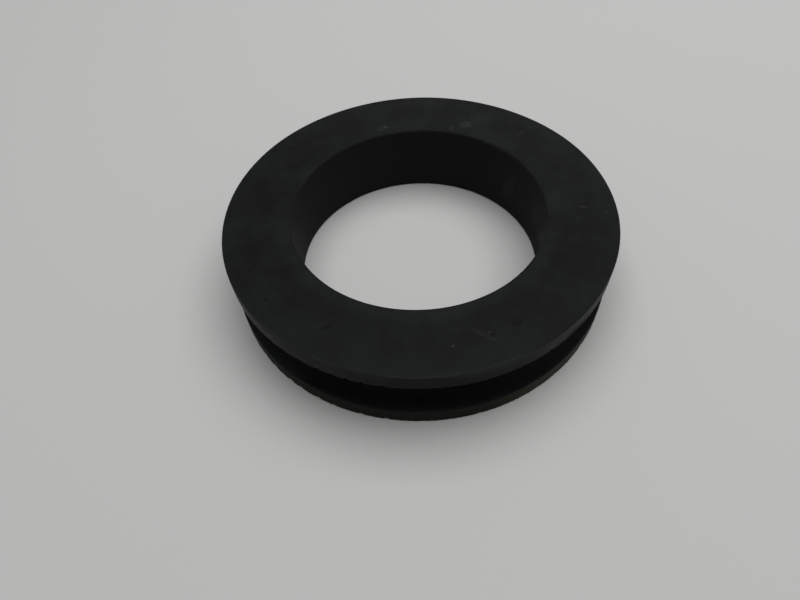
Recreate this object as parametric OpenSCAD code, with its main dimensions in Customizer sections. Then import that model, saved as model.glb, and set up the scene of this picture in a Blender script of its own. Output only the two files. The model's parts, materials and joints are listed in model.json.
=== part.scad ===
// Steering column sleeve: one ring moulded in black rubber. The bore grips the
// column's jacket tube, and the groove between the two flanges holds the edge of
// a round hole in a panel. The ring lies flat: its axis is +Z, and the origin is
// the centre of its underside. Sizes are in millimetres.

/* [Ring] */
// Outer diameter of both flanges
flange_d = 69; // [64:0.5:90]
// Diameter of the bore that grips the column tube
bore_d = 45; // [38:0.5:48]

/* [Flanges] */
// Thickness of the upper flange
upper_t = 3.4; // [2:0.1:6]
// Thickness of the lower flange
lower_t = 3.4; // [2:0.1:6]

/* [Groove] */
// Height of the groove between the flanges
groove_h = 7; // [2:0.5:15]
// Diameter of the groove's floor
groove_d = 57; // [52:0.5:60]

/* [Edges] */
// Radius of each flange's upper edge
rim_r = 0.3; // [0.2:0.1:0.9]
// Radius of each flange's lower edge, which is trimmed nearly sharp
under_r = 0.2; // [0.1:0.1:0.9]
// Radius of the edges at the bore's two mouths
mouth_r = 0.5; // [0.2:0.1:0.9]
// Radius of the fillets along the groove's floor
fillet_r = 0.8; // [0.2:0.1:0.9]

/* [Hidden] */
$fn = 180;

flange_r = flange_d / 2;
bore_r = bore_d / 2;
groove_r = groove_d / 2;

groove_z = lower_t;
upper_z = groove_z + groove_h;
height = upper_z + upper_t;

// How far a cut reaches past the faces that it opens
overrun = 1;

// Sharp upper corners of both flanges, each with the direction into the rubber
rim_corners = [
    [[flange_r, groove_z], [-1, -1]],
    [[flange_r, height], [-1, -1]],
];

// Sharp lower corners of both flanges, each with the direction into the rubber
under_corners = [
    [[flange_r, 0], [-1, 1]],
    [[flange_r, upper_z], [-1, 1]],
];

// Sharp corners of the bore's mouths, each with the direction into the rubber
mouth_corners = [
    [[bore_r, 0], [1, 1]],
    [[bore_r, height], [1, -1]],
];

// Sharp corners along the groove's floor, each with the direction into the gap
floor_corners = [
    [[groove_r, groove_z], [1, 1]],
    [[groove_r, upper_z], [1, -1]],
];

// What lies between each sharp corner and its rounding of radius r
module corner_tips(corners, r) {
    for (corner = corners)
        difference() {
            translate(corner[0] + corner[1] * (r - overrun) / 2)
                square(r + overrun, center = true);
            translate(corner[0] + corner[1] * r)
                circle(r);
        }
}

// Section of the gap between the flanges, with a filleted floor
module groove_section() {
    difference() {
        translate([groove_r, groove_z])
            square([flange_r - groove_r + overrun, groove_h]);
        corner_tips(floor_corners, fillet_r);
    }
}

// Section of the rubber, from the bore's wall out to the rims
module ring_section() {
    difference() {
        translate([bore_r, 0])
            square([flange_r - bore_r, height]);
        groove_section();
        corner_tips(rim_corners, rim_r);
        corner_tips(under_corners, under_r);
        corner_tips(mouth_corners, mouth_r);
    }
}

module column_sleeve() {
    color([0.12, 0.125, 0.12])
        rotate_extrude()
            ring_section();
}

column_sleeve();
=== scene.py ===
import json
import math

import bpy
import numpy as np
from mathutils import Matrix, Vector


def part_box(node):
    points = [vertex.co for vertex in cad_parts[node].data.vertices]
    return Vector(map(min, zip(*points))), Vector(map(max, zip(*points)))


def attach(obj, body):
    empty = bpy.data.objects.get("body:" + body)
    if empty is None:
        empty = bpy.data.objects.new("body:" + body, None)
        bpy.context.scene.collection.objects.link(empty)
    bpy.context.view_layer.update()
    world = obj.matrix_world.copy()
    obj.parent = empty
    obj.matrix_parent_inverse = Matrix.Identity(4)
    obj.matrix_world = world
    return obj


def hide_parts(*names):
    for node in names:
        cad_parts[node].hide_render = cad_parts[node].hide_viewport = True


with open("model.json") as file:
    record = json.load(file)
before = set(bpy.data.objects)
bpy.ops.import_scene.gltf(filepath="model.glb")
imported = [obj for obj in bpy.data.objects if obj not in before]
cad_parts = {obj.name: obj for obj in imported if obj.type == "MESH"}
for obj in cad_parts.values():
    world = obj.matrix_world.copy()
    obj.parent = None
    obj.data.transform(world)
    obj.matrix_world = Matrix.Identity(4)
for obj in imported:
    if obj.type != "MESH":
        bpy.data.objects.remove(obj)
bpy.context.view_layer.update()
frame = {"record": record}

# The ring
# One ring moulded in black rubber: a flat flange at each end, a groove between them for a
# panel's edge, and a plain bore that grips the column's tube. The tool's joints leave a thin
# flash round the flanges, which is trimmed by hand and leaves their edges a little ragged.

MM = 0.001
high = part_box("column_sleeve")[1]
bore = next(m for m in frame["record"]["mounts"] if m["name"] == "column_bore")

flange_r = high.x
height = high.z
bore_r = bore["dims"]["r_mm"] * MM
mouth_r = (height - bore["dims"]["length_mm"] * MM) / 2
flange_t = 3.4 * MM
groove_r = 28.5 * MM
rim_r = 0.3 * MM
under_r = 0.2 * MM
fillet_r = 0.8 * MM
upper_z = height - flange_t

# The section's rounded corners in order, with the rubber on the left: the arc's centre,
# its radius, and the angles in degrees at which it starts and ends
CORNERS = {
    "lower_low": (flange_r - under_r, under_r, under_r, -90, 0),
    "lower_up": (flange_r - rim_r, flange_t - rim_r, rim_r, 0, 90),
    "groove_low": (groove_r + fillet_r, flange_t + fillet_r, fillet_r, 270, 180),
    "groove_up": (groove_r + fillet_r, upper_z - fillet_r, fillet_r, 180, 90),
    "upper_low": (flange_r - under_r, upper_z + under_r, under_r, -90, 0),
    "upper_up": (flange_r - rim_r, height - rim_r, rim_r, 0, 90),
    "mouth_up": (bore_r + mouth_r, height - mouth_r, mouth_r, 90, 180),
    "mouth_low": (bore_r + mouth_r, mouth_r, mouth_r, 180, 270),
}
AROUND = 1080
ARC_STEPS = 5
FLAT_STEP = 4.0 * MM
FLAT_INSETS = (0.06 * MM, 0.45 * MM)


def corner_arc(centre_r, centre_z, radius, start, end):
    """Points and outward normals along one rounded corner of the section."""
    turn = np.radians(np.linspace(start, end, ARC_STEPS + 1))
    way = np.column_stack([np.cos(turn), np.sin(turn)])
    outward = way if end > start else -way
    return np.array([centre_r, centre_z]) + radius * way, outward


def flat_run(start, end):
    """Points and normals between two corners, with two points near each end to keep it flat."""
    length = np.linalg.norm(end - start)
    steps = math.ceil(length / FLAT_STEP)
    middle = np.linspace(0, length, steps + 1)[1:-1]
    reach = np.concatenate([FLAT_INSETS, middle, length - np.array(FLAT_INSETS)[::-1]])
    along = (end - start) / length
    outward = np.array([along[1], -along[0]])
    return start + np.outer(reach, along), np.tile(outward, (len(reach), 1))


arcs = [corner_arc(*corner) for corner in CORNERS.values()]
points, normals = [], []
for (arc, outward), (next_arc, _) in zip(arcs, arcs[1:] + arcs[:1]):
    run, run_outward = flat_run(arc[-1], next_arc[0])
    points += [arc, run]
    normals += [outward, run_outward]
section = np.concatenate(points)
section_normal = np.concatenate(normals)

SEED = 5
angle = np.linspace(0, 2 * math.pi, AROUND, endpoint=False)
chance = np.random.default_rng(SEED)


def ripple(fewest, most, count=24):
    """A wavering line round the ring, mostly within -1 to 1, of whole waves so that it closes."""
    waves = chance.integers(fewest, most + 1, count)
    starts = chance.uniform(0, 2 * math.pi, count)
    return np.cos(np.outer(angle, waves) + starts).sum(1) / math.sqrt(count)


def near_corner(name, reach):
    """How close each point of the section is to a rounded corner's middle, from 1 down to 0."""
    centre_r, centre_z, radius, start, end = CORNERS[name]
    middle = math.radians((start + end) / 2)
    tip = np.array([centre_r + radius * math.cos(middle), centre_z + radius * math.sin(middle)])
    return np.exp(-(np.linalg.norm(section - tip, axis=1) / reach) ** 2)


# How far the surface stands out along its normal, for each angle and each point of the section
relief = np.zeros((AROUND, len(section)))

# Flash that the trimming left: the height of its ragged edge, how far it spreads from the
# corner, the waves round the ring that it is made of, and its lowest and highest share
TRIMMED = {
    "upper_low": 0.030 * MM,
    "lower_low": 0.030 * MM,
    "upper_up": 0.006 * MM,
    "lower_up": 0.012 * MM,
}
TRIM_REACH = 0.38 * MM
COARSE_WAVES = (40, 110)
COARSE_SHARE = 0.5
FINE_WAVES = (150, 330)
RAGGED_RANGE = (-0.8, 1.6)
for name, ragged in TRIMMED.items():
    edge = COARSE_SHARE * ripple(*COARSE_WAVES) + ripple(*FINE_WAVES)
    edge = np.clip(edge, *RAGGED_RANGE)
    relief += np.outer(ragged * edge, near_corner(name, TRIM_REACH))

# Soft rubber never lies quite true: both rims waver, and the upper face is not quite level
WAVER = 0.05 * MM
WAVER_WAVES = (2, 7)
SAG = 0.06 * MM
SAG_WAVES = (2, 5)
SLOW_COUNT = 6
outermost = np.clip((section[:, 0] - bore_r) / (flange_r - bore_r), 0, 1)
upper = np.clip((section[:, 1] - upper_z) / (height - upper_z), 0, 1)
waver = WAVER * ripple(*WAVER_WAVES, SLOW_COUNT)
relief += np.outer(waver, outermost * np.abs(section_normal[:, 0]))
sag = np.outer(SAG * ripple(*SAG_WAVES, SLOW_COUNT), outermost * upper)

# Nicks that the knife left along the flanges' lower edges, by their angles in degrees, with
# their least and greatest sizes in millimetres, and one long shallow slice among them
NICKS = {
    "upper_low": (-133, -128, -123, -117, -113, -109, -105, -100, -56, -20, 25, 62, 98, 141, 170),
    "lower_low": (-155, -149, -142, -137, -130, -126, -120, -115, -107, -100, -75, -38, 14, 74, 120),
}
NICK_HALF_WIDTH = (0.22, 0.42)
NICK_DEPTH = (0.12, 0.26)
SLICE_AT = -125
SLICE_HALF_WIDTH = 7.0
SLICE_DEPTH = 0.07


def cut(name, degrees, half_width, depth):
    """Takes a nick out of one of the section's corners."""
    apart = np.angle(np.exp(1j * (angle - math.radians(degrees)))) * flange_r
    relief[:] -= np.outer(depth * np.exp(-(apart / half_width) ** 2), near_corner(name, TRIM_REACH))


for name, places in NICKS.items():
    for degrees in places:
        cut(name, degrees, chance.uniform(*NICK_HALF_WIDTH) * MM, chance.uniform(*NICK_DEPTH) * MM)
cut("upper_low", SLICE_AT, SLICE_HALF_WIDTH * MM, SLICE_DEPTH * MM)

ring_r = section[:, 0] + relief * section_normal[:, 0]
ring_z = section[:, 1] + relief * section_normal[:, 1] + sag
# No point lies lower than the flat underside
ring_z = np.clip(ring_z, 0, None)
ring_x = ring_r * np.cos(angle)[:, None]
ring_y = ring_r * np.sin(angle)[:, None]
vertices = np.stack([ring_x, ring_y, ring_z], axis=2)

grid = np.arange(AROUND * len(section)).reshape(AROUND, len(section))
following = np.roll(grid, -1, axis=0)
faces = np.stack([grid, following, np.roll(following, -1, axis=1), np.roll(grid, -1, axis=1)], axis=2)

ring_mesh = bpy.data.meshes.new("rubber_ring")
ring_mesh.from_pydata(vertices.reshape(-1, 3).tolist(), [], faces.reshape(-1, 4).tolist())
ring_mesh.shade_smooth()
ring = bpy.data.objects.new("rubber_ring", ring_mesh)
bpy.context.scene.collection.objects.link(ring)


class Field:
    """A value that changes over a surface. Sums with it add the Math nodes that work them out."""

    def __init__(self, tree, socket=None):
        self.tree = tree
        self.socket = socket

    def node(self, kind, settings, sockets, output=0):
        """Adds a node and gives one of its outputs. Its settings come before its sockets."""
        made = self.tree.nodes.new(kind)
        for name, setting in settings.items():
            setattr(made, name, setting)
        for name, value in sockets.items():
            if isinstance(value, Field):
                self.tree.links.new(value.socket, made.inputs[name])
            else:
                made.inputs[name].default_value = value
        return Field(self.tree, made.outputs[output]) if made.outputs else None

    def math(self, operation, *values):
        return self.node("ShaderNodeMath", {"operation": operation}, dict(enumerate(values)))

    def __add__(self, other):
        return self.math("ADD", self, other)

    def __radd__(self, other):
        return self.math("ADD", other, self)

    def __sub__(self, other):
        return self.math("SUBTRACT", self, other)

    def __rsub__(self, other):
        return self.math("SUBTRACT", other, self)

    def __mul__(self, other):
        return self.math("MULTIPLY", self, other)

    def __rmul__(self, other):
        return self.math("MULTIPLY", other, self)

    def __truediv__(self, other):
        return self.math("DIVIDE", self, other)

    def __pow__(self, other):
        return self.math("POWER", self, other)

    def rise(self, start, end):
        """0 up to start and 1 from end on, with a smooth rise between them."""
        limits = {"Value": self, "From Min": start, "From Max": end}
        return self.node("ShaderNodeMapRange", {"interpolation_type": "SMOOTHSTEP"}, limits)

    def mix(self, first, second):
        """The first colour where the field is 0, the second where it is 1."""
        colours = {0: self, 6: first, 7: second}
        return self.node("ShaderNodeMix", {"data_type": "RGBA"}, colours, output=2)

    def noise(self, place, scale, detail, roughness):
        values = {"Vector": place, "Scale": scale, "Detail": detail, "Roughness": roughness}
        return self.node("ShaderNodeTexNoise", {}, values)


rubber = bpy.data.materials.new("moulded_black_rubber")
rubber.use_nodes = True
rubber.node_tree.nodes.clear()
field = Field(rubber.node_tree)

# Places on the ring in millimetres, the distance from its axis, and the angle round it in degrees
place = field.node("ShaderNodeTexCoord", {}, {}, output="Object")
place = field.node("ShaderNodeVectorMath", {"operation": "SCALE"}, {0: place, "Scale": 1 / MM})
x, y, z = (field.node("ShaderNodeSeparateXYZ", {}, {"Vector": place}, output=axis) for axis in "XYZ")
radius = (x * x + y * y) ** 0.5
turn = field.math("ARCTAN2", y, x) * math.degrees(1)

# The section's sizes in millimetres, and the zones of the surface that they bound
TOP = height / MM
UPPER = upper_z / MM
FLANGE = flange_t / MM
RIM = flange_r / MM
GROOVE = groove_r / MM
BORE = bore_r / MM
on_face = z.rise(TOP - 0.3, TOP - 0.1)
mid_face = on_face * radius.rise(BORE + 1.9, BORE + 3.7) * (1 - radius.rise(RIM - 5, RIM - 2))
in_bore = 1 - radius.rise(BORE + 0.03, BORE + 0.15)
on_lower_rim = (1 - z.rise(FLANGE - 0.8, FLANGE - 0.2)) * radius.rise(RIM - 0.9, RIM - 0.3)
on_upper_rim = z.rise(UPPER, UPPER + 0.2) * radius.rise(RIM - 0.3, RIM - 0.05)
between_flanges = z.rise(FLANGE - 0.25, FLANGE - 0.05) * (1 - z.rise(UPPER, UPPER + 0.1))
in_groove = between_flanges * radius.rise(GROOVE - 3, GROOVE - 2)
groove_lip = in_groove * radius.rise(RIM - 4, RIM - 0.7)

# Bloom in clouds and mottles, blotches that break up the smears, and the moulding's fine grain
cloud = field.noise(place, scale=0.13, detail=3.0, roughness=0.6).rise(0.35, 0.68)
mottle = field.noise(place, scale=0.55, detail=3.0, roughness=0.6).rise(0.32, 0.72)
blotch = field.noise(place, scale=1.6, detail=2.0, roughness=0.6).rise(0.36, 0.6)
grain = field.noise(place, scale=7.0, detail=2.0, roughness=0.6)


def mark(across, along, centre, half, tilt=0):
    """An oval that is 1 in its middle and fades to 0 at its edge. Its tilt is anticlockwise."""
    cos, sin = math.cos(math.radians(tilt)), math.sin(math.radians(tilt))
    right, up = across - centre[0], along - centre[1]
    u = (right * cos + up * sin) / half[0]
    v = (up * cos - right * sin) / half[1]
    return 1 - (u * u + v * v).rise(0, 1)


def marks(across, along, ovals):
    """The sum of several ovals, each with its centre, half sizes, tilt in degrees and strength."""
    return sum(
        strength * mark(across, along, centre, half, tilt)
        for centre, half, tilt, strength in ovals
    )


# Pale smears and specks of mould release and dust on the upper face, and painted highlights on
# the lower lips of two dents, in millimetres
FACE_SMEARS_AND_HIGHLIGHTS = [
    ((10.5, 23.9), (1.8, 1.4), 5, 0.28),
    ((13.4, 25.8), (2.8, 2.4), 35, 0.07),
    ((7.4, 22.9), (1.2, 0.5), 80, 0.16),
    ((9.2, -27.7), (3.4, 0.55), -31, 0.11),
    ((5.3, -26.7), (2.0, 0.6), 18, 0.06),
    ((9.9, -27.3), (0.25, 0.25), 0, 0.35),
    ((-5.9, 24.2), (0.5, 0.32), 10, 0.75),
    ((-6.6, 23.6), (1.6, 0.9), 40, 0.12),
    ((4.5, -29.5), (0.25, 0.25), 0, 0.55),
    ((20.9, 20.2), (2.1, 0.32), 43, 0.16),
    # Painted highlights on the lower lips of two dents
    ((28.6, -1.55), (0.8, 0.4), 0, 0.24),
    ((32.5, -3.1), (0.5, 0.35), 0, 0.22),
]
# Small dents in the upper face, in millimetres, pressed in by bump and darkened with painted shade
DENTS = [
    ((-14.3, -25.2), (0.75, 0.8), 0, 1),
    ((28.7, -0.7), (0.9, 0.6), 0, 1),
    ((32.6, -2.4), (0.4, 0.4), 0, 1),
    ((10.4, -27.6), (0.4, 0.4), 0, 1),
    ((14.2, -25.0), (1.1, 1.3), 0, 1),
    ((-24.3, -19.6), (0.5, 0.5), 0, 1),
]
# Pale smears on the bore's wall, in degrees round the ring and millimetres up, with painted light
# among them. The one at its left is given twice, because the angle jumps there from 180 to -180
BORE_SMEARS_AND_PAINTED_LIGHT = [
    ((35.4, 6.2), (6.6, 2.6), -36, 0.27),
    # Painted light: a faint broad patch over the bore's right
    ((22.0, 7.0), (28.0, 9.0), 0, 0.05),
    ((9.0, 7.8), (7.5, 3.0), 0, 0.24),
    ((-1.0, 5.5), (4.5, 1.8), -15, 0.32),
    # Painted highlight: a bright short dash on the bore's right
    ((-7.8, 8.1), (6.5, 1.5), -10, 0.9),
    # Painted reflection over the bore's left, given twice
    ((181.0, 3.6), (15.0, 7.5), 0, 0.25),
    ((-179.0, 3.6), (15.0, 7.5), 0, 0.25),
    ((133.4, 6.3), (1.2, 0.5), 0, 0.20),
]
# Pale patches and painted sheen on the upper rim, then duller ones, measured in the same way
RIM_PATCHES_AND_SHEEN = [
    ((-73.0, 13.6), (15.0, 1.9), 0, 0.26),
    # Painted highlight and painted sheen along the rim's right
    ((-46.0, 12.6), (6.5, 0.9), 0, 0.70),
    ((-40.0, 12.3), (27.0, 2.0), 0, 0.26),
    ((-101.0, 13.4), (7.0, 1.7), 0, 0.12),
    ((-114.0, 13.4), (11.0, 1.6), 0, 0.10),
]
RIM_DULL = [
    ((-121.0, 12.0), (10.0, 8.0), 0, 0.05),
    ((-46.5, 11.2), (6.0, 1.0), 0, 0.18),
]
# Painted light over the groove at its left
GROOVE_LEFT_PAINTED_LIGHT = [
    ((-141.0, 5.0), (21.0, 12.0), 0, 0.22),
]
dent = on_face * marks(x, y, DENTS)

# Painted sheen on the face's far side, and a painted highlight along the near side of the bore's mouth
PAINTED_SHEEN = 0.06
far_painted_sheen = (0.6 * x + 0.8 * y).rise(-3, 25) * radius.rise(BORE + 0.1, BORE + 1.3)
near_painted_highlight = (1 - radius.rise(BORE + 1.1, BORE + 3.1)) * (1 - y.rise(-14, 6))
smears_and_painted_light = on_face * (marks(x, y, FACE_SMEARS_AND_HIGHLIGHTS) + PAINTED_SHEEN * (far_painted_sheen + near_painted_highlight))
smears_and_painted_light = smears_and_painted_light + in_bore * marks(turn, z, BORE_SMEARS_AND_PAINTED_LIGHT)
smears_and_painted_light = smears_and_painted_light + on_upper_rim * marks(turn, z, RIM_PATCHES_AND_SHEEN)
smears_and_painted_light = smears_and_painted_light + in_groove * marks(turn, z, GROOVE_LEFT_PAINTED_LIGHT)


def near_edge(edge_r, drop, reach):
    """1 along a line on one of the upper face's two rounded edges, and 0 at the reach from it."""
    return 1 - (((radius - edge_r) ** 2 + (z - TOP + drop) ** 2) ** 0.5).rise(0, reach)


# Painted highlights on the edges: the rim's all round, most at its front and least at its right,
# and the mouth's at its left and right ends. Blotches break up the smears
RIM_LINE = (RIM - 0.04, 0.18, 0.34)
RIM_HIGHLIGHT = 0.24
CLOUDED_HIGHLIGHT = 0.06
FRONT_HIGHLIGHT = 0.39
RIGHT_LESS_HIGHLIGHT = 0.12
LEFT_MOUTH_LINE = (BORE + 0.15, 0.15, 0.36)
LEFT_MOUTH_HIGHLIGHT = 0.07
RIGHT_MOUTH_LINE = (BORE + 0.22, 0.09, 0.28)
RIGHT_MOUTH_HIGHLIGHT = 0.11
BLOTCHED = 0.55
front = mark(turn, z, (-90, TOP), (11, 9))
rim_highlight = RIM_HIGHLIGHT + CLOUDED_HIGHLIGHT * cloud + FRONT_HIGHLIGHT * front - RIGHT_LESS_HIGHLIGHT * x.rise(17, 24)
left_mouth_highlight = LEFT_MOUTH_HIGHLIGHT * near_edge(*LEFT_MOUTH_LINE) * (1 - x.rise(-22, -12))
right_mouth_highlight = RIGHT_MOUTH_HIGHLIGHT * near_edge(*RIGHT_MOUTH_LINE) * x.rise(17.5, 21.5)
edge_highlight = near_edge(*RIM_LINE) * rim_highlight + left_mouth_highlight + right_mouth_highlight
pale_and_painted_light = smears_and_painted_light * (1 - BLOTCHED + BLOTCHED * blotch) + edge_highlight

# Bloom greys the black rubber at random; painted shade darkens the middle of the face and its right
BLACK = (0.0017, 0.0021, 0.0019, 1)
BLOOM = (0.0068, 0.0086, 0.0080, 1)
# Painted shade: the dents are darkened nearly to black
PIT_PAINTED_SHADE = (0.0008, 0.0008, 0.0008, 1)
PIT_SHADE_COVER = 0.8
CLOUD_BLOOM = 0.6
MOTTLE_BLOOM = 0.4
MID_PAINTED_SHADE = 0.2
RIGHT_PAINTED_SHADE = 0.3
right_face = on_face * mark(x, y, (28, -11), (10, 13))
tone = CLOUD_BLOOM * cloud + MOTTLE_BLOOM * mottle
tone = tone - MID_PAINTED_SHADE * mid_face - RIGHT_PAINTED_SHADE * right_face
colour = tone.mix(BLACK, BLOOM)
colour = (PIT_SHADE_COVER * dent).mix(colour, PIT_PAINTED_SHADE)

# Painted light greys the groove's depths and the bore, but hardly the groove's lip. Dust is brown on
# the lower rim, with painted light at its right; talc and painted light make the pale marks
GROOVE_PAINTED_LIGHT = (0.027, 0.027, 0.026, 1)
BORE_PAINTED_LIGHT = (0.0150, 0.0150, 0.0148, 1)
RIM_DUST = (0.0118, 0.0119, 0.0080, 1)
RIGHT_RIM_PAINTED_LIGHT = (0.030, 0.030, 0.021, 1)
TALC_AND_PAINTED_LIGHT = (0.048, 0.053, 0.052, 1)
LIP_UNLIT = 0.96
BORE_LIGHT_COVER = 0.85
RIM_MOTTLED = 0.4
dusty_rim = on_lower_rim * (1 - RIM_MOTTLED + RIM_MOTTLED * mottle)
# Painted light on the lower rim's right
right_rim_lit = on_lower_rim * mark(turn, z, (-42, 1.7), (32, 9))
colour = (in_groove - LIP_UNLIT * groove_lip).mix(colour, GROOVE_PAINTED_LIGHT)
colour = (BORE_LIGHT_COVER * in_bore).mix(colour, BORE_PAINTED_LIGHT)
colour = dusty_rim.mix(colour, RIM_DUST)
colour = right_rim_lit.mix(colour, RIGHT_RIM_PAINTED_LIGHT)
colour = pale_and_painted_light.mix(colour, TALC_AND_PAINTED_LIGHT)

# Bloom, the pale marks, the groove, the bore and the lower rim dull the clean rubber; heights are in
# millimetres
CLEAN_ROUGHNESS = 0.40
BLOOM_DULLS = 0.10
GRAIN_DULLS = 0.05
PALE_DULLS = 0.2
GROOVE_DULLS = 0.3
BORE_DULLS = 0.25
LOWER_RIM_DULLS = 0.16
SPECULAR_LEVEL = 0.055
GRAIN_HEIGHT = 0.004
DENT_DEPTH = 0.05
dullness = CLEAN_ROUGHNESS + BLOOM_DULLS * tone + GRAIN_DULLS * grain + PALE_DULLS * pale_and_painted_light
dullness = dullness + GROOVE_DULLS * in_groove + BORE_DULLS * in_bore
dullness = dullness + LOWER_RIM_DULLS * on_lower_rim + on_upper_rim * marks(turn, z, RIM_DULL)
bump_height = GRAIN_HEIGHT * grain - DENT_DEPTH * dent
bump = field.node("ShaderNodeBump", {}, {"Height": bump_height, "Strength": 1.0, "Distance": MM})
surface = field.node("ShaderNodeBsdfPrincipled", {}, {
    "Base Color": colour,
    "Roughness": dullness,
    "Normal": bump,
    "Specular IOR Level": SPECULAR_LEVEL,
})
field.node("ShaderNodeOutputMaterial", {}, {"Surface": surface})

ring_mesh.materials.append(rubber)
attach(ring, "root")
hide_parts("column_sleeve")

# The floor
# A plain pale grey sheet under the ring, far wider than any view of it. It carries the ring's
# shadow, and well away from the ring it fades into the backdrop, which has the same grey.

FLOOR_HALF = 3.0
FLOOR_DROP = 0.02 * MM
FLOOR_GREY = (0.50, 0.50, 0.495, 1)
FADE_START = 0.12
FADE_END = 0.36
FLOOR_SIDES = ((-1, -1), (1, -1), (1, 1), (-1, 1))
floor_corners = [(sx * FLOOR_HALF, sy * FLOOR_HALF, -FLOOR_DROP) for sx, sy in FLOOR_SIDES]
floor_mesh = bpy.data.meshes.new("floor")
floor_mesh.from_pydata(floor_corners, [], [(0, 1, 2, 3)])
floor = bpy.data.objects.new("floor", floor_mesh)
bpy.context.scene.collection.objects.link(floor)


def seen_plainly(owner):
    """1 where a thing is seen straight, mirrored or through glass, and 0 where it only gives light."""
    kinds = ("Is Camera Ray", "Is Glossy Ray", "Is Transmission Ray")
    return sum(owner.node("ShaderNodeLightPath", {}, {}, output=kind) for kind in kinds)


paper = bpy.data.materials.new("pale_paper")
paper.use_nodes = True
paper.node_tree.nodes.clear()
sheet = Field(paper.node_tree)
matt = sheet.node("ShaderNodeBsdfDiffuse", {}, {"Color": FLOOR_GREY})
haze = sheet.node("ShaderNodeEmission", {}, {"Color": FLOOR_GREY, "Strength": 1.0})
spot = sheet.node("ShaderNodeTexCoord", {}, {}, output="Object")
away = sheet.node("ShaderNodeVectorMath", {"operation": "LENGTH"}, {0: spot}, output="Value")
far = away.rise(FADE_START, FADE_END) * seen_plainly(sheet)
cover = sheet.node("ShaderNodeMixShader", {}, {0: far, 1: matt, 2: haze})
sheet.node("ShaderNodeOutputMaterial", {}, {"Surface": cover})
floor_mesh.materials.append(paper)

# The light
# A bright even room, with one wide soft lamp above the ring, a little behind it and to its
# right. Looked at plainly, the room is the backdrop, with the floor's own grey.

ROOM_LIGHT = 0.18
ROOM_WHITE = (1, 1, 1, 1)
room = bpy.data.worlds.new("room")
bpy.context.scene.world = room
room.use_nodes = True
room.node_tree.nodes.clear()
air = Field(room.node_tree)
glow = air.node("ShaderNodeBackground", {}, {"Color": ROOM_WHITE, "Strength": ROOM_LIGHT})
backdrop = air.node("ShaderNodeBackground", {}, {"Color": FLOOR_GREY, "Strength": 1.0})
both = air.node("ShaderNodeMixShader", {}, {0: seen_plainly(air), 1: glow, 2: backdrop})
air.node("ShaderNodeOutputWorld", {}, {"Surface": both})

LAMP_WIDTH = 0.80
LAMP_DEPTH = 0.62
LAMP_POWER = 4.6
LAMP_PLACE = Vector((0.12, 0.12, 0.6))
lamp_data = bpy.data.lights.new("softbox", "AREA")
lamp_data.shape = "RECTANGLE"
lamp_data.size = LAMP_WIDTH
lamp_data.size_y = LAMP_DEPTH
lamp_data.energy = LAMP_POWER
lamp = bpy.data.objects.new("softbox", lamp_data)
lamp.location = LAMP_PLACE
bpy.context.scene.collection.objects.link(lamp)

# The camera
# It stands close to the ring, a little above it, and looks down on it with a slight roll.

CAMERA_PLACE = Vector((0, -73.15, 80.94)) * MM
CAMERA_AIM = Vector((-3.76, -9.98, 0)) * MM
CAMERA_ROLL = math.radians(-4.51)
CAMERA_LENS = 24.874
SENSOR_WIDTH = 36
camera_data = bpy.data.cameras.new("camera")
camera_data.sensor_width = SENSOR_WIDTH
camera_data.lens = CAMERA_LENS
camera_data.clip_start = 1 * MM
camera = bpy.data.objects.new("camera", camera_data)
look = (CAMERA_AIM - CAMERA_PLACE).to_track_quat("-Z", "Y").to_matrix().to_4x4()
camera.matrix_world = Matrix.Translation(CAMERA_PLACE) @ look @ Matrix.Rotation(CAMERA_ROLL, 4, "Z")
bpy.context.scene.collection.objects.link(camera)
bpy.context.scene.camera = camera

bpy.context.scene.view_settings.view_transform = "Standard"
